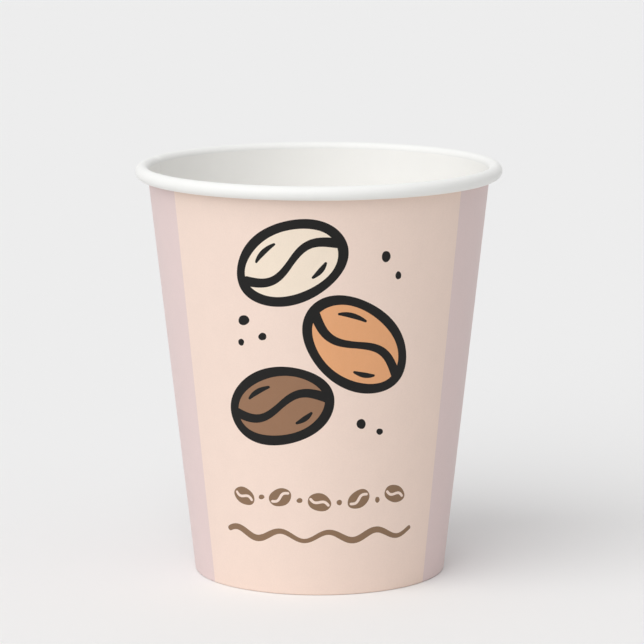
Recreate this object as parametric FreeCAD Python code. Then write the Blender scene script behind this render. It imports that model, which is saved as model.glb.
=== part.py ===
# Paper coffee cup of about 240 ml, made of two pieces of coated paperboard.
# The side wall is one fan-shaped sheet wound round a cone. Its ends overlap in a sealed side seam,
# its upper edge is rolled outwards into the rim, and its lower edge is folded inwards into a hem.
# The base is a disc whose edge is turned down into a skirt, sealed between the wall and the hem.
# Millimetres, +Z up. The origin is the centre of the foot, on the table, and the print faces -Y.

import FreeCAD, Part

import math
import os

# Overall sizes
rim_diameter = 80.0  # over the rolled rim
base_diameter = 55.0  # over the printed face, carried down to the table
cup_height = 90.0  # from the table to the top of the rim

# Side wall
wall_sheet = 0.35  # thickness of the wall's paperboard
curl_diameter = 3.0  # the rolled rim's section
curl_gap = 0.05  # from the roll's raw edge to the wall, where the seam doubles it
fold_inside = 0.03  # radius inside the two creases of the foot
fold_limit = 0.45  # largest share of the base's board that this radius can be

# Side seam
seam_overlap = 6.0  # width of the double layer at the rim
seam_step_down = 2.5  # width at the rim in which the outer layer comes down to the cone
seam_bearing = 166.5  # degrees from +X to the middle of the double layer

# Base
base_sheet = 0.30  # thickness of the base's paperboard
recess_depth = 7.0  # from the table up to the underside of the base
bend_inside = 0.30  # radius inside the bend between the disc and its skirt
hem_gap = 0.70  # from that bend down to the hem's raw edge
skirt_gap = 0.02  # from the foot's creases up to the skirt's raw edge

# Directions in the section, which is drawn in the XZ plane
away = FreeCAD.Vector(1, 0, 0)
axis = FreeCAD.Vector(0, 0, 1)
centre = FreeCAD.Vector(0, 0, 0)

# The printed face leaves the roll as its tangent, and that sets the wall's tilt
curl_radius = curl_diameter / 2
curl_centre = FreeCAD.Vector(rim_diameter / 2 - curl_radius, 0, cup_height - curl_radius)
printed_foot = FreeCAD.Vector(base_diameter / 2, 0, 0)
foot_to_curl = curl_centre - printed_foot
wall_tilt = foot_to_curl.getAngle(axis) - math.asin((curl_radius - wall_sheet) / foot_to_curl.Length)
up_wall = FreeCAD.Vector(math.sin(wall_tilt), 0, math.cos(wall_tilt))
out_wall = FreeCAD.Vector(math.cos(wall_tilt), 0, -math.sin(wall_tilt))

# The creases bend round the skirt's board, so its thickness limits their radius
crease_inside = min(fold_inside, fold_limit * base_sheet)

# The roll turns until its raw edge nears the wall again
curl_end_depth = curl_radius - 2 * wall_sheet - curl_gap
curl_turn = 360 - math.degrees(math.acos(curl_end_depth / curl_radius))

# The seam's widths as angles about the cup's axis
overlap_angle = math.degrees(seam_overlap / curl_centre.x)
step_down_angle = math.degrees(seam_step_down / curl_centre.x)
seam_start = seam_bearing - overlap_angle / 2


def at_height(point, z):
    """The point at height z on the line through this point, up along the wall."""
    return point + up_wall * ((z - point.z) / up_wall.z)


def wall_line(depth):
    """A point on the wall, this deep in the sheet. Depth counts outwards from the white face."""
    return printed_foot + out_wall * (depth - wall_sheet)


def hem_line(depth):
    """A point on the hem, whose white face lies against the skirt. Depth counts towards the axis."""
    return printed_foot - out_wall * (wall_sheet + base_sheet + depth)


def straight(start, end):
    return Part.LineSegment(start, end).toShape()


def rounded(corner, back, onward, radius):
    """Start, middle and end of the arc that rounds a corner between two directions."""
    half_angle = back.getAngle(onward) / 2
    reach = radius / math.tan(half_angle)
    inwards = (back + onward).normalize()
    middle = corner + inwards * (radius / math.sin(half_angle) - radius)
    return corner + back * reach, middle, corner + onward * reach


def curl_point(depth, turned):
    """A point in the rolled rim, this deep in the sheet, once the sheet has turned so far."""
    spoke = out_wall * (depth - curl_radius)
    angle = math.radians(turned)
    turned_x = spoke.x * math.cos(angle) + spoke.z * math.sin(angle)
    turned_z = spoke.z * math.cos(angle) - spoke.x * math.sin(angle)
    return curl_centre + FreeCAD.Vector(turned_x, 0, turned_z)


def sheet_face(depth):
    """Edges along the wall's section at one depth in the sheet: hem, foot, wall and rolled rim."""
    floor = wall_sheet - depth
    crease = crease_inside + depth
    hem_top = at_height(hem_line(depth), recess_depth - bend_inside - hem_gap)
    inner = rounded(at_height(hem_line(depth), floor), up_wall, away, crease)
    outer = rounded(at_height(wall_line(depth), floor), -away, up_wall, crease)
    first_half = [curl_point(depth, curl_turn * share) for share in (0, 0.25, 0.5)]
    second_half = [curl_point(depth, curl_turn * share) for share in (0.5, 0.75, 1)]
    return [
        straight(hem_top, inner[0]),
        Part.Arc(*inner).toShape(),
        straight(inner[2], outer[0]),
        Part.Arc(*outer).toShape(),
        straight(outer[2], first_half[0]),
        Part.Arc(*first_half).toShape(),
        Part.Arc(*second_half).toShape(),
    ]


def closed_section(white, printed):
    """The closed outline between the edges of a sheet's two faces."""
    raw_edges = [
        straight(white[0].firstVertex().Point, printed[0].firstVertex().Point),
        straight(white[-1].lastVertex().Point, printed[-1].lastVertex().Point),
    ]
    return Part.Wire(Part.__sortEdges__(white + printed + raw_edges))


def sheet_section(layer):
    """The wall's section. Layer 0 lies on the cone, and layer 1 lies outside it in the seam."""
    return closed_section(sheet_face(layer * wall_sheet), sheet_face((layer + 1) * wall_sheet))


def turned_to(shape, angle):
    """A copy of the shape, turned about the cup's axis."""
    copy = shape.copy()
    copy.rotate(centre, axis, angle)
    return copy


def wound(layer, start, angle):
    """One layer of the sheet, wound round the cone from a start angle."""
    section = turned_to(Part.Face(sheet_section(layer)), start)
    return section.revolve(centre, axis, angle)


def above_table():
    """The space over the table, which presses the seam's fold flat with the rest of the foot."""
    corner = FreeCAD.Vector(-rim_diameter, -rim_diameter, 0)
    return Part.makeBox(2 * rim_diameter, 2 * rim_diameter, 2 * cup_height, corner)


def make_side_wall():
    """The sheet makes a full turn, steps out over its own beginning and is sealed to it."""
    full_turn = wound(0, seam_start, 360 - step_down_angle)
    outer_end = wound(1, seam_start, overlap_angle)
    before_step = turned_to(sheet_section(0), seam_start - step_down_angle)
    after_step = turned_to(sheet_section(1), seam_start)
    step = Part.makeLoft([before_step, after_step], True, True)
    return full_turn.fuse([step, outer_end]).common(above_table())


def base_face(depth):
    """Edges along the base's section, this deep below its upper face: disc, bend and skirt."""
    height = recess_depth + base_sheet - depth
    skirt_line = wall_line(0) - out_wall * depth
    raw_edge = at_height(skirt_line, wall_sheet + crease_inside + skirt_gap)
    bend = rounded(at_height(skirt_line, height), -away, -up_wall, bend_inside + base_sheet - depth)
    return [
        straight(axis * height, bend[0]),
        Part.Arc(*bend).toShape(),
        straight(bend[2], raw_edge),
    ]


def make_base_disc():
    section = closed_section(base_face(0), base_face(base_sheet))
    return Part.Face(section).revolve(centre, axis, 360)


pieces = {
    "side_wall": make_side_wall(),
    "base_disc": make_base_disc(),
}

os.makedirs("parts", exist_ok=True)
for name, piece in pieces.items():
    print(name, "solids", len(piece.Solids), "valid", piece.isValid(), "mm3", round(piece.Volume, 1))
    piece.exportStep("parts/" + name + ".step")
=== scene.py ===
# Looks of the paper coffee cup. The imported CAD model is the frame, and the printed wall is built round it
# as one wound, rolled and folded sheet of board, with its print cut into the sheet as fields of ink.
# Sizes here are in millimetres on the cup and turn into metres when a mesh is made.

import math
from collections import namedtuple

import bpy
from mathutils import Matrix, Vector
from mathutils.geometry import delaunay_2d_cdt


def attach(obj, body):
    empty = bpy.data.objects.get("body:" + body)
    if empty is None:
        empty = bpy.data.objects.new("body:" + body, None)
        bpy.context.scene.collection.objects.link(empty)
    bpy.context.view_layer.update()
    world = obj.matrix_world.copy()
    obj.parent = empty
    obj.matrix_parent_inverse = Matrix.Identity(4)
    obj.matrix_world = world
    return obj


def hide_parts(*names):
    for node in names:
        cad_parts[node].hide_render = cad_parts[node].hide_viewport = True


METRES = 0.001
FULL_TURN = 360
HALF_TURN = 180

# The cup, as in the part's source
RIM_DIAMETER = 80.0
BASE_DIAMETER = 55.0
CUP_HEIGHT = 90.0
SHEET = 0.35
BASE_SHEET = 0.30
CURL_RADIUS = 1.5
CURL_GAP = 0.05
FOLD_INSIDE = 0.03
HEM_TOP = 6.0
SEAM_OVERLAP = 6.0
SEAM_STEP = 2.5
SEAM_BEARING = 166.5

# Fineness of the wall's mesh
COLUMN_DEGREES = 1.2
STEP_COLUMNS = 12
WALL_ROWS = 14
HEM_ROWS = 5
CREASE_ROWS = 4
CURL_ROWS = 30
PANEL_ROW = 2.2  # between the rows of points inside the panel
MERGE_DISTANCE = 1e-5  # nearer than this, two points of the panel are one
SLOPE_REACH = 0.05  # degrees to each side, for the slope of the seam's step

# Small things that real board does
GLUE = 0.01  # between the seam's two layers
FOLD_PRESSED = 0.5  # share of the lower layer's fold that the seam presses away
RIB_COUNT = 50
RIB_HALF_HEIGHT = 0.03

# The print: a peach panel at the front, lilac round the rest
FRONT_BEARING = 270.0
PANEL_LEFT = 55.9  # degrees to the left of the front's middle
PANEL_RIGHT = 54.5
PANEL_SCALE = 0.55  # mm a degree, at the middle of the wall
INK_INTO_CURL = 40.0  # degrees of the roll that still have ink

INK_COLOURS = {
    "peach": (246, 223, 210),
    "lilac": (232, 211, 209),
    "black": (20, 19, 18),
    "cream": (247, 231, 212),
    "orange": (235, 171, 122),
    "brown": (153, 115, 88),
    "script": (142, 113, 88),
}
# The lining's white is paler than the rim's. This is painted light, standing in for light that the cup's
# shaded inside and its base lack.
WHITE_LINING_PAINTED_LIGHT = (251, 250, 247)
WHITE_RIM = (245, 245, 243)
WHITE_BARE = (240, 238, 233)
RAW_EDGE = (226, 217, 202)

# The flat blank on the unit square of the bake, with the white face above the printed one
BLANK_SIZE = 246.0  # the square's side
BLANK_MIDDLE = 0.5
BLANK_MARGIN = 0.01
WHITE_FACE_UP = 0.5  # how far above the printed face it lies

Station = namedtuple("Station", "base direction length")


def turned(direction, degrees):
    """A direction in the section, turned from up the wall over the rim and outwards."""
    angle = math.radians(degrees)
    x = direction.x * math.cos(angle) + direction.y * math.sin(angle)
    z = direction.y * math.cos(angle) - direction.x * math.sin(angle)
    return Vector((x, z))


# Directions and points of the section, as (distance from the axis, height)
CURL_CENTRE = Vector((RIM_DIAMETER / 2 - CURL_RADIUS, CUP_HEIGHT - CURL_RADIUS))
FOOT = Vector((BASE_DIAMETER / 2, 0))
TO_CURL = CURL_CENTRE - FOOT
TILT = math.atan2(TO_CURL.x, TO_CURL.y) - math.asin((CURL_RADIUS - SHEET) / TO_CURL.length)
UP_WALL = Vector((math.sin(TILT), math.cos(TILT)))
OUT_WALL = Vector((math.cos(TILT), -math.sin(TILT)))
DOWN = Vector((0, -1))
OUTWARDS = Vector((1, 0))

# How far the roll turns, until its raw edge nears the wall again
CURL_TURN = FULL_TURN - math.degrees(math.acos((CURL_RADIUS - 2 * SHEET - CURL_GAP) / CURL_RADIUS))

# Turns of the sheet, in degrees from its beginning under the seam, and the bearing of that beginning
OVERLAP = math.degrees(SEAM_OVERLAP / CURL_CENTRE.x)
STEP = math.degrees(SEAM_STEP / CURL_CENTRE.x)
STEP_START = FULL_TURN - STEP
LAST_TURN = FULL_TURN + OVERLAP
SEAM_START = SEAM_BEARING - OVERLAP / 2
FRONT_TURN = FRONT_BEARING - SEAM_START
PANEL_START = FRONT_TURN - PANEL_LEFT
PANEL_END = FRONT_TURN + PANEL_RIGHT


def between(start, end, count):
    """Equal steps from start to end, without the start."""
    return [start + (end - start) * step / count for step in range(1, count + 1)]


def crease_centre(line_point, back, onward):
    """Centre of the arc of the white face where two straight runs of the section meet."""
    corner = line_point + UP_WALL * ((SHEET - line_point.y) / UP_WALL.y)
    half_angle = back.angle(onward) / 2
    inwards = (back + onward).normalized()
    return corner + inwards * (FOLD_INSIDE / math.sin(half_angle))


# A run is a station's place on the white face, the way through the sheet and its distance from the last


def straight_runs(start, end, direction, count):
    run = (end - start).length / count
    return [(start.lerp(end, share), direction, run) for share in between(0, 1, count)]


def crease_runs(centre, start, end):
    """Runs round a crease, whose length is taken at the middle of the sheet."""
    run = start.angle(end) * (FOLD_INSIDE + SHEET / 2) / CREASE_ROWS
    runs = []
    for share in between(0, 1, CREASE_ROWS):
        direction = start.slerp(end, share)
        runs.append((centre + direction * FOLD_INSIDE, direction, run))
    return runs


def foot_runs():
    """The hem from its raw edge down, and both creases with the flat ring between them."""
    inner = crease_centre(FOOT - OUT_WALL * (SHEET + BASE_SHEET), UP_WALL, OUTWARDS)
    outer = crease_centre(FOOT - OUT_WALL * SHEET, -OUTWARDS, UP_WALL)
    hem_end = inner - OUT_WALL * FOLD_INSIDE
    hem_start = hem_end + UP_WALL * ((HEM_TOP - hem_end.y) / UP_WALL.y)
    runs = [(hem_start, -OUT_WALL, 0.0)]
    runs += straight_runs(hem_start, hem_end, -OUT_WALL, HEM_ROWS)
    runs += crease_runs(inner, -OUT_WALL, DOWN)
    runs += straight_runs(runs[-1][0], outer + DOWN * FOLD_INSIDE, DOWN, 1)
    return runs + crease_runs(outer, DOWN, OUT_WALL)


def curl_runs():
    run = math.radians(CURL_TURN / CURL_ROWS) * CURL_RADIUS
    runs = []
    for degrees in between(0, CURL_TURN, CURL_ROWS):
        direction = turned(OUT_WALL, degrees)
        runs.append((CURL_CENTRE - direction * CURL_RADIUS, direction, run))
    return runs


def sheet_stations():
    """The section's stations from the hem's raw edge to the roll's, and where the wall and roll start."""
    runs = foot_runs()
    wall_first = len(runs) - 1
    wall_end = CURL_CENTRE - OUT_WALL * CURL_RADIUS
    runs += straight_runs(runs[-1][0], wall_end, OUT_WALL, WALL_ROWS)
    curl_first = len(runs) - 1
    runs += curl_runs()
    stations = []
    length = 0.0
    for base, direction, run in runs:
        length += run
        stations.append(Station(base, direction, length))
    return stations, wall_first, curl_first


STATIONS, WALL_FIRST, CURL_FIRST = sheet_stations()

# Ink covers the bands from the flat ring of the foot to partway round the roll
INK_FIRST = WALL_FIRST - CREASE_ROWS - 1
INK_LAST = CURL_FIRST + round(INK_INTO_CURL / CURL_TURN * CURL_ROWS)

# From the apex of the flat fan to the hem's raw edge
FLAT_APEX = FOOT.x / math.sin(TILT) - STATIONS[WALL_FIRST].length


def smooth(share):
    share = min(max(share, 0.0), 1.0)
    return share * share * (3 - 2 * share)


def lift(turn):
    """How far the sheet's white face lies off the cone: up onto its own beginning, in the seam."""
    return (SHEET + GLUE) * smooth((turn - FULL_TURN + STEP) / STEP)


def lift_slope(turn):
    return (lift(turn + SLOPE_REACH) - lift(turn - SLOPE_REACH)) / math.radians(2 * SLOPE_REACH)


def foot_press(turn):
    """Share of the fold's depth that stays, where the seam is pressed flat with the rest of the foot."""
    if turn > HALF_TURN:
        return SHEET / (SHEET + lift(turn))
    return 1 - FOLD_PRESSED * smooth((OVERLAP + STEP - turn) / STEP)


def rib(station_number, turn):
    """The hem is pressed in small upright ribs, which fade out towards its fold."""
    if station_number > HEM_ROWS:
        return 0.0
    share = 1 - station_number / HEM_ROWS
    return RIB_HALF_HEIGHT * smooth(2 * share) * (1 - math.cos(math.radians(turn * RIB_COUNT)))


def on_sheet(station, turn, depth):
    """The place of a point of the sheet, depth counted from the white face outwards."""
    point = station.base + station.direction * (depth + lift(turn))
    height = point.y
    if height < SHEET:
        height = SHEET - (SHEET - height) * foot_press(turn)
    bearing = math.radians(SEAM_START + turn)
    return Vector((point.x * math.cos(bearing), point.x * math.sin(bearing), height))


def facing(station, turn, side):
    """The direction that a face of the sheet faces, with side 1 printed and side -1 white."""
    bearing = math.radians(SEAM_START + turn)
    outwards = Vector((math.cos(bearing), math.sin(bearing), 0))
    around = Vector((-math.sin(bearing), math.cos(bearing), 0))
    normal = outwards * station.direction.x + Vector((0, 0, 1)) * station.direction.y
    radius = station.base.x
    return (normal - around * (lift_slope(turn) / radius)).normalized() * side


def on_blank(length, turn, side):
    """A point of the flat blank, in the unit square."""
    angle = math.radians(turn - LAST_TURN / 2) * math.sin(TILT)
    radius = FLAT_APEX + length
    lowest = FLAT_APEX * math.cos(math.radians(LAST_TURN / 2) * math.sin(TILT))
    u = BLANK_MIDDLE + radius * math.sin(angle) / BLANK_SIZE
    v = (radius * math.cos(angle) - lowest) / BLANK_SIZE + BLANK_MARGIN
    return Vector((u, v if side > 0 else v + WHITE_FACE_UP))


def column_turns():
    """The turns of the mesh's columns, with exact ones at the seam's edges and the panel's borders."""
    marks = [0, OVERLAP, PANEL_START, PANEL_END, STEP_START, FULL_TURN, LAST_TURN]
    turns = [0.0]
    for start, end in zip(marks, marks[1:]):
        count = math.ceil((end - start) / COLUMN_DEGREES)
        if start == STEP_START:
            count = STEP_COLUMNS
        turns += between(start, end, count)
    return turns


class MeshData:
    """Points, faces and each face's ink, corner normals and places on the flat blank."""

    def __init__(self):
        self.points = []
        self.faces = []
        self.inks = []
        self.normals = []
        self.places = []

    def point(self, place):
        """Adds a point and returns its number."""
        self.points.append(place * METRES)
        return len(self.points) - 1

    def face(self, corners, ink):
        """Corners are (point, normal, place on the blank). A corner with no normal takes the face's."""
        self.faces.append([corner[0] for corner in corners])
        self.inks.append(ink)
        flat = None
        for _, normal, place in corners:
            if normal is None and flat is None:
                flat = self.flat_normal(corners)
            self.normals.append(normal or flat)
            self.places.append(place)

    def flat_normal(self, corners):
        a, b, c = (self.points[corner[0]] for corner in corners[:3])
        return (b - a).cross(c - a).normalized()


# The artwork, in millimetres: x to the right of the front's middle, y up the wall from the foot

LargeBean = namedtuple("LargeBean", "centre length width degrees ink")
LARGE_BEANS = [
    LargeBean((-6.0, 73.5), 25.0, 18.0, 24, "cream"),
    LargeBean((8.0, 55.5), 26.0, 18.5, -38, "orange"),
    LargeBean((-8.5, 42.0), 24.0, 17.0, 12, "brown"),
]
Dot = namedtuple("Dot", "centre size")
DOTS = [
    Dot((-16.5, 60.5), 2.6),
    Dot((-12.2, 57.2), 1.9),
    Dot((-17.2, 55.6), 1.6),
    Dot((14.5, 74.5), 2.4),
    Dot((17.4, 70.2), 1.7),
    Dot((9.0, 38.0), 2.3),
    Dot((13.2, 36.0), 1.6),
]

# Outlines: the distance between their points and their unevenness
LARGE_POINTS = 0.5
SMALL_POINTS = 0.3
FEWEST_POINTS = 20
LARGE_UNEVEN = 0.35
SMALL_UNEVEN = 0.15
DOT_UNEVEN = 0.08
HandWave = namedtuple("HandWave", "height waves shift")
HAND_WAVES = [HandWave(0.5, 2, 1.7), HandWave(0.3, 3, 2.9), HandWave(0.2, 5, 4.1)]
ROUND_END_STEPS = 5

# A large bean's line, and its crease and strokes in widths of that line
BEAN_LINE = 2.1
FILL_SEED_SHIFT = 0.35  # the fill's edge is uneven in its own way
CREASE_STEPS = 36
CREASE_SHORTER = 1.7
CREASE_HALF = 0.36
CREASE_FLARE = 0.16
CREASE_BEND = -0.115  # in widths of the bean
STROKE_STEPS = 12
STROKE_END_INSET = 1.95
STROKE_SIDE_INSET = 1.85
STROKE_HALF = 0.14
UPPER_STROKE = (0.20, 0.44, 1)  # from one share of the bean's length to another, and on which side
LOWER_STROKE = (0.62, 0.80, -1)

# Dots: their width as a share of their length, and how far each is turned past the last
DOT_WIDTH = 0.86
DOT_TURN = 20

# The row of small beans with dots between them
ROW_COUNT = 5
ROW_PITCH = 8.5
ROW_HEIGHT = 21.2
ROW_SWAY = 0.5
ROW_SWAY_STEP = 2.1  # radians a bean
ROW_TURNS = (-20, 30)  # degrees, by turns
ROW_DOT_SIZE = 1.3
ROW_DOT_HEIGHT = 21.0
ROW_DOT_SWAY = 0.4
ROW_DOT_SWAY_STEP = 1.3  # radians a dot
SMALL_LENGTH = 5.2
SMALL_WIDTH = 3.9
SMALL_CREASE = 4.0
SMALL_CREASE_BEND = -0.4
SMALL_CREASE_STEPS = 20
SMALL_CREASE_HALF = 0.3

# The wavy line
WAVY_HEIGHT = 13.0
WAVY_HALF_LENGTH = 21.0
WAVY_COUNT = 4
WAVY_RISE = 1.0
WAVY_STEPS = 20  # in each wave
WAVY_START = 0.4  # radians
WAVY_HALF = 0.62
WAVY_SWELL = 0.13
WAVY_SWELL_TURN = 11  # radians over the whole line


def uneven(angle, seed):
    """A hand's unevenness round a closed line, within about 1."""
    total = 0.0
    for wave in HAND_WAVES:
        total += wave.height * math.sin(wave.waves * angle + wave.shift * seed)
    return total


def placed(points, centre, degrees):
    c = math.cos(math.radians(degrees))
    s = math.sin(math.radians(degrees))
    return [(centre[0] + x * c - y * s, centre[1] + x * s + y * c) for x, y in points]


def oval(length, width, seed, spacing, roughness):
    count = max(FEWEST_POINTS, int(math.pi * (length + width) / 2 / spacing))
    points = []
    for number in range(count):
        angle = 2 * math.pi * number / count
        grow = 1 + uneven(angle, seed) * roughness * 2 / length
        points.append((length / 2 * math.cos(angle) * grow, width / 2 * math.sin(angle) * grow))
    return points


def round_end(end, before, half):
    """The points round the end of a brush line, between its two sides."""
    start = math.atan2(end[1] - before[1], end[0] - before[0]) + math.pi / 2
    angles = [start - math.pi * number / ROUND_END_STEPS for number in range(1, ROUND_END_STEPS)]
    return [(end[0] + half * math.cos(a), end[1] + half * math.sin(a)) for a in angles]


def brushed(path, half_width):
    """The outline of a brush line along a path. Its half width depends on the share of the way."""
    left = []
    right = []
    last = len(path) - 1
    for number, (x, y) in enumerate(path):
        x0, y0 = path[max(number - 1, 0)]
        x1, y1 = path[min(number + 1, last)]
        run = math.hypot(x1 - x0, y1 - y0)
        across = Vector((y0 - y1, x1 - x0)) * (half_width(number / last) / run)
        left.append((x + across.x, y + across.y))
        right.append((x - across.x, y - across.y))
    end = round_end(path[-1], path[-2], half_width(1))
    start = round_end(path[0], path[1], half_width(0))
    return left + end + right[::-1] + start


def s_curve(length, bend, count):
    shares = [number / count for number in range(count + 1)]
    return [(length * (share - 0.5), bend * math.sin(2 * math.pi * share)) for share in shares]


def crease_half_width(share):
    """A large bean's crease widens towards both of its ends."""
    return BEAN_LINE * (CREASE_HALF + CREASE_FLARE * abs(2 * share - 1))


def stroke_half_width(share):
    """A stroke is widest in its middle."""
    return BEAN_LINE * (STROKE_HALF + STROKE_HALF * math.sin(math.pi * share))


def small_crease_half_width(share):
    """A small bean's crease is as wide all the way."""
    return SMALL_CREASE_HALF


def wavy_half_width(share):
    return WAVY_HALF + WAVY_SWELL * math.sin(WAVY_SWELL_TURN * share)


def shade_stroke(length, width, stroke):
    """A short stroke inside a large bean's outline."""
    start, end, side = stroke
    half_length = length / 2 - STROKE_END_INSET * BEAN_LINE
    half_width = width / 2 - STROKE_SIDE_INSET * BEAN_LINE
    path = []
    for share in [start] + between(start, end, STROKE_STEPS):
        angle = math.pi * (1 - share)
        path.append((half_length * math.cos(angle), side * half_width * math.sin(angle)))
    return brushed(path, stroke_half_width)


def large_bean(bean, seed):
    """A black oval, its fill, and on that a crease and two strokes."""
    length = bean.length
    width = bean.width
    fill_length = length - 2 * BEAN_LINE
    fill_width = width - 2 * BEAN_LINE
    crease = s_curve(length - CREASE_SHORTER * BEAN_LINE, CREASE_BEND * width, CREASE_STEPS)
    shapes = [
        ("black", oval(length, width, seed, LARGE_POINTS, LARGE_UNEVEN)),
        (bean.ink, oval(fill_length, fill_width, seed + FILL_SEED_SHIFT, LARGE_POINTS, LARGE_UNEVEN)),
        ("black", brushed(crease, crease_half_width)),
        ("black", shade_stroke(length, width, UPPER_STROKE)),
        ("black", shade_stroke(length, width, LOWER_STROKE)),
    ]
    return [(ink, placed(outline, bean.centre, bean.degrees)) for ink, outline in shapes]


def dot(centre, size, ink, seed):
    outline = oval(size, size * DOT_WIDTH, seed, SMALL_POINTS, DOT_UNEVEN)
    return [(ink, placed(outline, centre, DOT_TURN * seed))]


def small_bean(centre, degrees, seed):
    crease = brushed(s_curve(SMALL_CREASE, SMALL_CREASE_BEND, SMALL_CREASE_STEPS), small_crease_half_width)
    body = oval(SMALL_LENGTH, SMALL_WIDTH, seed, SMALL_POINTS, SMALL_UNEVEN)
    return [("script", placed(body, centre, degrees)), ("peach", placed(crease, centre, degrees))]


def small_beans():
    shapes = []
    for number in range(ROW_COUNT):
        x = ROW_PITCH * number - ROW_PITCH * (ROW_COUNT - 1) / 2
        y = ROW_HEIGHT + ROW_SWAY * math.sin(ROW_SWAY_STEP * number)
        shapes += small_bean((x, y), ROW_TURNS[number % 2], number + 1)
    for number in range(ROW_COUNT - 1):
        x = ROW_PITCH * number - ROW_PITCH * (ROW_COUNT - 2) / 2
        y = ROW_DOT_HEIGHT + ROW_DOT_SWAY * math.cos(ROW_DOT_SWAY_STEP * number)
        shapes += dot((x, y), ROW_DOT_SIZE, "script", number + 1)
    return shapes


def wavy_line():
    steps = WAVY_STEPS * WAVY_COUNT
    path = []
    for share in [number / steps for number in range(steps + 1)]:
        y = WAVY_HEIGHT + WAVY_RISE * math.sin(2 * math.pi * WAVY_COUNT * share + WAVY_START)
        path.append((WAVY_HALF_LENGTH * (2 * share - 1), y))
    return [("script", brushed(path, wavy_half_width))]


def artwork():
    """Outlines with their inks, the later ones on top."""
    shapes = []
    for seed, bean in enumerate(LARGE_BEANS, 1):
        shapes += large_bean(bean, seed)
    for seed, spot in enumerate(DOTS, 1):
        shapes += dot(spot.centre, spot.size, "black", seed)
    return shapes + small_beans() + wavy_line()


# The panel: a rectangle of angle and height, cut into triangles along the artwork's outlines


def panel_place(x, y):
    """From the artwork's millimetres to the panel's rectangle of angle and height."""
    radius = FOOT.x + y * UP_WALL.x
    return Vector((math.degrees(x / radius) * PANEL_SCALE, y))


def inside(point, outline):
    """Whether a point is inside a closed outline."""
    found = False
    previous = outline[-1]
    for current in outline:
        if (current.y > point.y) != (previous.y > point.y):
            share = (point.y - current.y) / (previous.y - current.y)
            if point.x < current.x + share * (previous.x - current.x):
                found = not found
        previous = current
    return found


class Field:
    """One outline of the artwork in the panel's rectangle."""

    def __init__(self, ink, points):
        self.ink = ink
        self.outline = [panel_place(x, y) for x, y in points]
        self.low = Vector((min(p.x for p in self.outline), min(p.y for p in self.outline)))
        self.high = Vector((max(p.x for p in self.outline), max(p.y for p in self.outline)))

    def holds(self, point):
        if not (self.low.x < point.x < self.high.x and self.low.y < point.y < self.high.y):
            return False
        return inside(point, self.outline)


def ink_at(point, fields):
    for field in reversed(fields):
        if field.holds(point):
            return field.ink
    return "peach"


def border_places(columns, rows):
    """The places of the panel's border, once round from its lower left corner."""
    border = [(column, rows[0]) for column in columns]
    border += [(columns[-1], row) for row in rows[1:]]
    border += [(column, rows[-1]) for column in columns[-2::-1]]
    border += [(columns[0], row) for row in rows[-2:0:-1]]
    return border


def inner_places(columns, rows):
    """A grid of places inside the panel, so that its triangles follow the round of the wall."""
    count = math.ceil((rows[-1] - rows[0]) / PANEL_ROW)
    places = []
    for height in between(rows[0], rows[-1], count)[:-1]:
        places += [Vector((column, height)) for column in columns[1:-1]]
    return places


def closed_edges(first, count):
    """The edges that join a run of points, numbered from the first, into a closed line."""
    return [(first + number, first + (number + 1) % count) for number in range(count)]


def border_origins(origins, border_count):
    """For the triangulated points that came from the border, the number of their border place."""
    border_of = {}
    for number, sources in enumerate(origins):
        for source in sources:
            if source < border_count:
                border_of[number] = source
    return border_of


def panel_triangles(columns, rows):
    """Triangles of the panel's rectangle, cut along the artwork's outlines.

    Returns their points, corner numbers and inks, and the border place that each point came from."""
    border = border_places(columns, rows)
    points = [Vector(place) for place in border] + inner_places(columns, rows)
    edges = closed_edges(0, len(border))
    fields = [Field(ink, outline) for ink, outline in artwork()]
    for field in fields:
        edges += closed_edges(len(points), len(field.outline))
        points += field.outline
    found, _, triangles, origins, _, _ = delaunay_2d_cdt(points, edges, [], 0, MERGE_DISTANCE, True)
    inks = []
    for triangle in triangles:
        middle = sum((found[number] for number in triangle), Vector((0, 0))) / 3
        inks.append(ink_at(middle, fields))
    return found, triangles, inks, border_origins(origins, len(border)), border


def add_panel(data, turns, printed):
    """The panel's triangles on the printed face. Its border shares the points of the sheet round it."""
    first = turns.index(PANEL_START)
    last = turns.index(PANEL_END)
    columns = [(turn - FRONT_TURN) * PANEL_SCALE for turn in turns[first:last + 1]]
    start = STATIONS[WALL_FIRST]
    rows = [station.length - start.length for station in STATIONS[WALL_FIRST:CURL_FIRST + 1]]
    found, triangles, inks, border_of, border = panel_triangles(columns, rows)
    column_at = {column: first + number for number, column in enumerate(columns)}
    row_at = {row: WALL_FIRST + number for number, row in enumerate(rows)}
    corners = []
    for number, place in enumerate(found):
        turn = place.x / PANEL_SCALE + FRONT_TURN
        station = Station(start.base + UP_WALL * place.y, OUT_WALL, start.length + place.y)
        if number in border_of:
            column, row = border[border_of[number]]
            point = printed[column_at[column]][row_at[row]]
        else:
            point = data.point(on_sheet(station, turn, SHEET))
        corners.append((point, facing(station, turn, 1), on_blank(station.length, turn, 1)))
    for triangle, ink in zip(triangles, inks):
        data.face([corners[number] for number in triangle], ink)


# The sheet's other faces and its raw edges


def surface_of_band(number, turn_middle, side):
    """What the sheet shows between two stations: the lining, the board or an ink."""
    if side < 0:
        return "lining" if number < CURL_FIRST else "rim"
    if number < INK_FIRST or number >= INK_LAST:
        return "bare"
    return "peach" if PANEL_START < turn_middle < PANEL_END else "lilac"


def sheet_corner(turns, points, side, column, number):
    station = STATIONS[number]
    turn = turns[column]
    return points[column][number], facing(station, turn, side), on_blank(station.length, turn, side)


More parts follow.
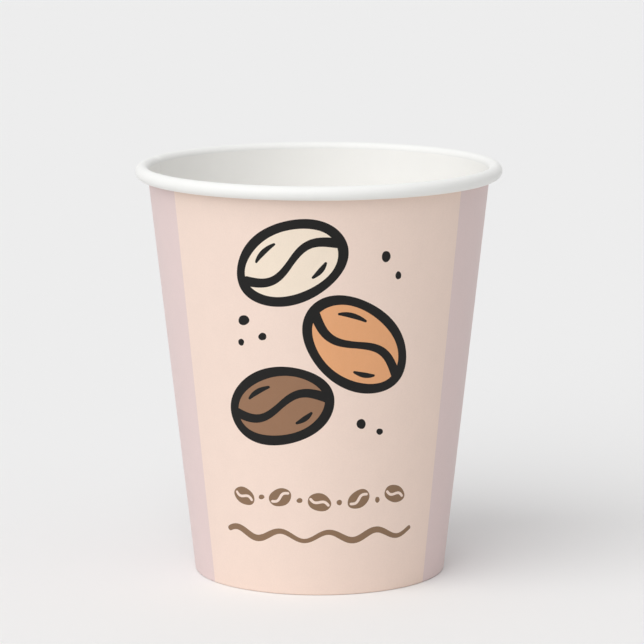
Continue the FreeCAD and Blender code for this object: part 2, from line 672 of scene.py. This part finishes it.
def add_sheet_faces(data, turns, points, side):
    """The quads of one face of the sheet, apart from the panel's on the printed face."""
    for column in range(len(turns) - 1):
        middle = (turns[column] + turns[column + 1]) / 2
        in_panel = PANEL_START < middle < PANEL_END
        for number in range(len(STATIONS) - 1):
            if side > 0 and in_panel and WALL_FIRST <= number < CURL_FIRST:
                continue
            ring = [(column, number), (column + 1, number), (column + 1, number + 1), (column, number + 1)]
            if side < 0:
                ring.reverse()
            corners = [sheet_corner(turns, points, side, c, n) for c, n in ring]
            data.face(corners, surface_of_band(number, middle, side))


def add_raw_strip(data, pairs, beyond):
    """A raw edge of the sheet: pairs of white and printed points, with places beside the blank."""
    for (w0, p0, place0), (w1, p1, place1) in zip(pairs, pairs[1:]):
        far0 = place0 + beyond
        far1 = place1 + beyond
        data.face([(w0, None, far0), (w1, None, far1), (p1, None, place1), (p0, None, place0)], "raw")


def add_long_edges(data, turns, white, printed):
    """The raw edges of the hem and of the roll."""
    for number, sign in ((0, -1), (len(STATIONS) - 1, 1)):
        length = STATIONS[number].length
        pairs = []
        for column, turn in enumerate(turns):
            pairs.append((white[column][number], printed[column][number], on_blank(length, turn, 1)))
        if number:
            pairs.reverse()
        add_raw_strip(data, pairs, Vector((0, sign * SHEET / BLANK_SIZE)))


def add_end_edges(data, turns, white, printed):
    """The raw edges of the seam, at the sheet's beginning and end."""
    for column, sign in ((0, -1), (len(turns) - 1, 1)):
        pairs = []
        for number, station in enumerate(STATIONS):
            place = on_blank(station.length, turns[column], 1)
            pairs.append((white[column][number], printed[column][number], place))
        if column == 0:
            pairs.reverse()
        add_raw_strip(data, pairs, Vector((sign * SHEET / BLANK_SIZE, 0)))


def sheet_points(data, turns, depth):
    """The numbers of one face's points, by column and station."""
    result = []
    for turn in turns:
        column = []
        for number, station in enumerate(STATIONS):
            column.append(data.point(on_sheet(station, turn, depth + rib(number, turn))))
        result.append(column)
    return result


def make_mesh(name, data, materials):
    mesh = bpy.data.meshes.new(name)
    mesh.from_pydata([tuple(point) for point in data.points], [], data.faces)
    for material in materials.values():
        mesh.materials.append(material)
    order = {ink: number for number, ink in enumerate(materials)}
    mesh.polygons.foreach_set("material_index", [order[ink] for ink in data.inks])
    mesh.polygons.foreach_set("use_smooth", [True] * len(data.faces))
    layer = mesh.uv_layers.new(name="OFBake")
    layer.data.foreach_set("uv", [value for place in data.places for value in place])
    mesh.update()
    mesh.normals_split_custom_set([tuple(normal) for normal in data.normals])
    piece = bpy.data.objects.new(name, mesh)
    bpy.context.scene.collection.objects.link(piece)
    return piece


def make_wall(materials):
    data = MeshData()
    turns = column_turns()
    white = sheet_points(data, turns, 0.0)
    printed = sheet_points(data, turns, SHEET)
    add_sheet_faces(data, turns, white, -1)
    add_sheet_faces(data, turns, printed, 1)
    add_panel(data, turns, printed)
    add_long_edges(data, turns, white, printed)
    add_end_edges(data, turns, white, printed)
    return make_mesh("printed_wall", data, materials)


# Materials

# Fineness of the board's patterns, in waves a metre
CLOUD_SCALE = 220
SPECK_SCALE = 3200
THREAD_SCALE = 1500
PEEL_SCALE = 900

# Their detail, and what they do to the board's colour, roughness and relief
CLOUD_DETAIL = 4
SPECK_DETAIL = 2
THREAD_DETAIL = 3
PEEL_DETAIL = 2
SOFT_NOISE = 0.5
ROUGH_NOISE = 0.6
THREAD_STRETCH = 0.14  # threads are longer up the cup than round it
NOISE_LOW = 0.3  # most of a noise lies between these two
NOISE_HIGH = 0.7
SPECK_SHADE = 0.7
PALE_SHADE = 1.06
PALE_SHARE = 0.25  # of white in the threads' colour
ROUGHNESS_SPREAD = 0.05
BUMP_STRENGTH = 0.35
BUMP_DISTANCE = 0.00004  # metres
THREAD_IN_BUMP = 0.5
PEEL_IN_BUMP = 0.6


def linear(colour):
    """From the 0 to 255 values of a picture to the shader's values, by the standard curve."""
    result = []
    for value in colour:
        share = value / 255
        result.append(share / 12.92 if share <= 0.04045 else ((share + 0.055) / 1.055) ** 2.4)
    return result


def shade(colour, factor):
    return [min(value * factor, 1.0) for value in colour] + [1.0]


def noise(nodes, links, place, scale, detail, roughness):
    node = nodes.new("ShaderNodeTexNoise")
    node.inputs["Scale"].default_value = scale
    node.inputs["Detail"].default_value = detail
    node.inputs["Roughness"].default_value = roughness
    links.new(place, node.inputs["Vector"])
    return node.outputs["Fac"]


def ranged(nodes, links, value, low, high):
    """The middle of a noise spread over a range."""
    node = nodes.new("ShaderNodeMapRange")
    node.inputs["From Min"].default_value = NOISE_LOW
    node.inputs["From Max"].default_value = NOISE_HIGH
    node.inputs["To Min"].default_value = low
    node.inputs["To Max"].default_value = high
    links.new(value, node.inputs["Value"])
    return node.outputs["Result"]


def mixed(nodes, links, factor, first, second):
    """A mix of two colours, each a fixed one or a socket."""
    node = nodes.new("ShaderNodeMix")
    node.data_type = "RGBA"
    links.new(factor, node.inputs["Factor"])
    for name, colour in (("A", first), ("B", second)):
        socket = [s for s in node.inputs if s.name == name and s.type == "RGBA"][0]
        if isinstance(colour, bpy.types.NodeSocket):
            links.new(colour, socket)
        else:
            socket.default_value = colour
    return [s for s in node.outputs if s.type == "RGBA"][0]


def weighted(nodes, links, first, second, share):
    """Two heights blended into one, for the bump."""
    node = nodes.new("ShaderNodeMix")
    node.inputs["Factor"].default_value = share
    links.new(first, node.inputs["A"])
    links.new(second, node.inputs["B"])
    return node.outputs["Result"]


def board_noises(nodes, links):
    """Clouds, specks, upright threads and a fine orange peel."""
    place = nodes.new("ShaderNodeTexCoord").outputs["Object"]
    along = nodes.new("ShaderNodeMapping")
    along.inputs["Scale"].default_value = (1.0, 1.0, THREAD_STRETCH)
    links.new(place, along.inputs["Vector"])
    cloud = noise(nodes, links, place, CLOUD_SCALE, CLOUD_DETAIL, ROUGH_NOISE)
    speck = noise(nodes, links, place, SPECK_SCALE, SPECK_DETAIL, SOFT_NOISE)
    thread = noise(nodes, links, along.outputs["Vector"], THREAD_SCALE, THREAD_DETAIL, ROUGH_NOISE)
    peel = noise(nodes, links, place, PEEL_SCALE, PEEL_DETAIL, SOFT_NOISE)
    return cloud, speck, thread, peel


def board(name, colour, roughness=0.5, mottle=0.012, grain=0.10, fibre=0.05, relief=1.0, specular=0.25):
    """Paperboard, or ink or lining on it.

    Mottle is the unevenness of the colour over some millimetres, grain its speckle of a third of a
    millimetre, and fibre the share of pale threads. Relief scales the bump of the board's face."""
    material = bpy.data.materials.new(name)
    material.use_nodes = True
    nodes = material.node_tree.nodes
    links = material.node_tree.links
    shader = nodes["Principled BSDF"]
    cloud, speck, thread, peel = board_noises(nodes, links)
    value = linear(colour)
    whitish = [channel * (1 - PALE_SHARE) + PALE_SHARE * max(value) for channel in value]
    clouds = ranged(nodes, links, cloud, 0, 1)
    specks = ranged(nodes, links, speck, 0, grain)
    threads = ranged(nodes, links, thread, 0, fibre)
    clouded = mixed(nodes, links, clouds, shade(value, 1 - mottle), shade(value, 1 + mottle))
    specked = mixed(nodes, links, specks, clouded, shade(value, SPECK_SHADE))
    threaded = mixed(nodes, links, threads, specked, shade(whitish, PALE_SHADE))
    links.new(threaded, shader.inputs["Base Color"])
    roughnesses = (roughness - ROUGHNESS_SPREAD, roughness + ROUGHNESS_SPREAD)
    links.new(ranged(nodes, links, cloud, *roughnesses), shader.inputs["Roughness"])
    bump = nodes.new("ShaderNodeBump")
    bump.inputs["Strength"].default_value = BUMP_STRENGTH * relief
    bump.inputs["Distance"].default_value = BUMP_DISTANCE
    heights = weighted(nodes, links, speck, thread, THREAD_IN_BUMP)
    links.new(weighted(nodes, links, heights, peel, PEEL_IN_BUMP), bump.inputs["Height"])
    links.new(bump.outputs["Normal"], shader.inputs["Normal"])
    shader.inputs["Specular IOR Level"].default_value = specular
    return material


def coated(name, colour):
    """Board with a film over its fibres."""
    return board(name, colour, roughness=0.42, mottle=0.006, grain=0.03, fibre=0.02, relief=0.7)


def bare_board():
    return board("bare_board", WHITE_BARE, roughness=0.75, mottle=0.015, grain=0.16, fibre=0.3,
                 relief=1.2, specular=0.2)


def raw_edge():
    return board("raw_edge", RAW_EDGE, roughness=0.85, mottle=0.04, grain=0.4, fibre=0.5,
                 relief=1.6, specular=0.15)


# The base takes the lining's paler white, which is painted light on the cup's shaded inside.
def base_white_painted_light():
    return board("base_board_white_painted_light", WHITE_LINING_PAINTED_LIGHT, roughness=0.45, mottle=0.008, grain=0.04, fibre=0.03,
                 relief=0.8)


def floor_paper():
    return board("floor_paper", FLOOR_COLOUR, roughness=0.8, mottle=0.004, grain=0.01, fibre=0.01,
                 relief=0.3, specular=0.1)


def wall_materials():
    """The lining and the rim have a film, and the inks lie on board. The lining's white is paler than the
    rim's, as painted light on the cup's shaded inside.
    """
    materials = {
        "lining": coated("white_lining_painted_light", WHITE_LINING_PAINTED_LIGHT),
        "rim": coated("white_rim", WHITE_RIM),
        "bare": bare_board(),
        "raw": raw_edge(),
    }
    for ink, colour in INK_COLOURS.items():
        materials[ink] = board("ink_" + ink, colour)
    return materials


# Stage, light and camera, in metres, degrees and the picture's pixels

FLOOR_HALF = 4.0
FLOOR_COLOUR = (236, 236, 235)
FLOOR_SEEN = (243, 243, 243)
SKY_LOW = 0.26
SKY_HIGH = 0.78
BACKDROP = 0.85
WHITE_LIGHT = (1, 1, 1, 1)
KEY_BEARING = -38.0  # from the front, and negative to its left
KEY_HEIGHT = 42.0
KEY_ANGLE = 64.0
KEY_STRENGTH = 1.61
IMAGE = 644
FOCAL_PIXELS = 3643.7
SENSOR = 36.0  # mm
CAMERA_DISTANCE = 0.8
CAMERA_HEIGHT_DEGREES = 9.73
CAMERA_ROLL = -0.121
AIM_HEIGHT = 0.05485
AIM_ACROSS = 0.000626


def background_rays(nodes, links):
    """1 for the rays that show a background: straight from the camera, or by way of metal or glass."""
    path = nodes.new("ShaderNodeLightPath")
    result = path.outputs["Is Camera Ray"]
    for name in ("Is Glossy Ray", "Is Transmission Ray"):
        either = nodes.new("ShaderNodeMath")
        either.operation = "MAXIMUM"
        links.new(result, either.inputs[0])
        links.new(path.outputs[name], either.inputs[1])
        result = either.outputs[0]
    return result


def show_as_background(material):
    """Gives the floor its paler colour for the rays that show a background."""
    nodes = material.node_tree.nodes
    links = material.node_tree.links
    colour = nodes["Principled BSDF"].inputs["Base Color"]
    looked_at = background_rays(nodes, links)
    plain = colour.links[0].from_socket
    seen = linear(FLOOR_SEEN) + [1.0]
    links.new(mixed(nodes, links, looked_at, plain, seen), colour)


def make_floor():
    """A plain pale floor."""
    mesh = bpy.data.meshes.new("floor")
    corners = [(-1, -1), (1, -1), (1, 1), (-1, 1)]
    places = [(FLOOR_HALF * x, FLOOR_HALF * y, 0) for x, y in corners]
    mesh.from_pydata(places, [], [(0, 1, 2, 3)])
    floor = bpy.data.objects.new("floor", mesh)
    bpy.context.scene.collection.objects.link(floor)
    material = floor_paper()
    show_as_background(material)
    mesh.materials.append(material)


def light_sky(nodes, links):
    """Makes the world's own background shine like a soft sky, brightest overhead."""
    direction = nodes.new("ShaderNodeSeparateXYZ")
    links.new(nodes.new("ShaderNodeTexCoord").outputs["Generated"], direction.inputs["Vector"])
    brightness = nodes.new("ShaderNodeMapRange")
    brightness.inputs["To Min"].default_value = SKY_LOW
    brightness.inputs["To Max"].default_value = SKY_HIGH
    links.new(direction.outputs["Z"], brightness.inputs["Value"])
    sky = nodes["Background"]
    sky.inputs["Color"].default_value = WHITE_LIGHT
    links.new(brightness.outputs["Result"], sky.inputs["Strength"])
    return sky.outputs[0]


def make_world():
    """The sky lights the cup, and a plain backdrop is what is seen of it."""
    world = bpy.data.worlds.new("studio")
    world.use_nodes = True
    nodes = world.node_tree.nodes
    links = world.node_tree.links
    sky = light_sky(nodes, links)
    seen = nodes.new("ShaderNodeBackground")
    seen.inputs["Color"].default_value = WHITE_LIGHT
    seen.inputs["Strength"].default_value = BACKDROP
    choice = nodes.new("ShaderNodeMixShader")
    links.new(background_rays(nodes, links), choice.inputs[0])
    links.new(sky, choice.inputs[1])
    links.new(seen.outputs[0], choice.inputs[2])
    links.new(choice.outputs[0], nodes["World Output"].inputs["Surface"])
    bpy.context.scene.world = world


def make_key():
    """One large soft light from the front left."""
    around = math.radians(KEY_BEARING)
    up = math.radians(KEY_HEIGHT)
    towards = Vector((math.cos(up) * math.sin(around), -math.cos(up) * math.cos(around), math.sin(up)))
    lamp = bpy.data.lights.new("key", "SUN")
    lamp.angle = math.radians(KEY_ANGLE)
    lamp.energy = KEY_STRENGTH
    key = bpy.data.objects.new("key", lamp)
    key.rotation_euler = (-towards).to_track_quat("-Z", "Y").to_euler()
    bpy.context.scene.collection.objects.link(key)


def make_camera():
    """A long lens, looking slightly down at the front of the cup."""
    data = bpy.data.cameras.new("camera")
    data.sensor_width = SENSOR
    data.lens = FOCAL_PIXELS / IMAGE * SENSOR
    camera = bpy.data.objects.new("camera", data)
    downwards = math.radians(CAMERA_HEIGHT_DEGREES)
    roll = math.radians(CAMERA_ROLL)
    forward = Vector((0, math.cos(downwards), -math.sin(downwards)))
    level_up = Vector((0, math.sin(downwards), math.cos(downwards)))
    across = Vector((1, 0, 0))
    right = across * math.cos(roll) + level_up * math.sin(roll)
    up = level_up * math.cos(roll) - across * math.sin(roll)
    aim = Vector((AIM_ACROSS, 0, AIM_HEIGHT))
    turn = Matrix((right, up, -forward)).transposed().to_4x4()
    camera.matrix_world = Matrix.Translation(aim - forward * CAMERA_DISTANCE) @ turn
    bpy.context.scene.collection.objects.link(camera)
    bpy.context.scene.camera = camera


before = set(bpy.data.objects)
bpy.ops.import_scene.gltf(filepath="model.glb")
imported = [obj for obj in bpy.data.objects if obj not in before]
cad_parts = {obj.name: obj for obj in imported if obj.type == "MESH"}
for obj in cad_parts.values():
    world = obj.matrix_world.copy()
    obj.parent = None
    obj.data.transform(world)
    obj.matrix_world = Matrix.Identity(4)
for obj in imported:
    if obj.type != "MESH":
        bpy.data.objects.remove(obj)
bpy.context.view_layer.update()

wall = make_wall(wall_materials())
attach(wall, "root")
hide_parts("side_wall")

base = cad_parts["base_disc"]
base_material = base_white_painted_light()
for slot in base.material_slots:
    slot.material = base_material

make_floor()
make_world()
make_key()
make_camera()
bpy.context.scene.view_settings.view_transform = "Standard"
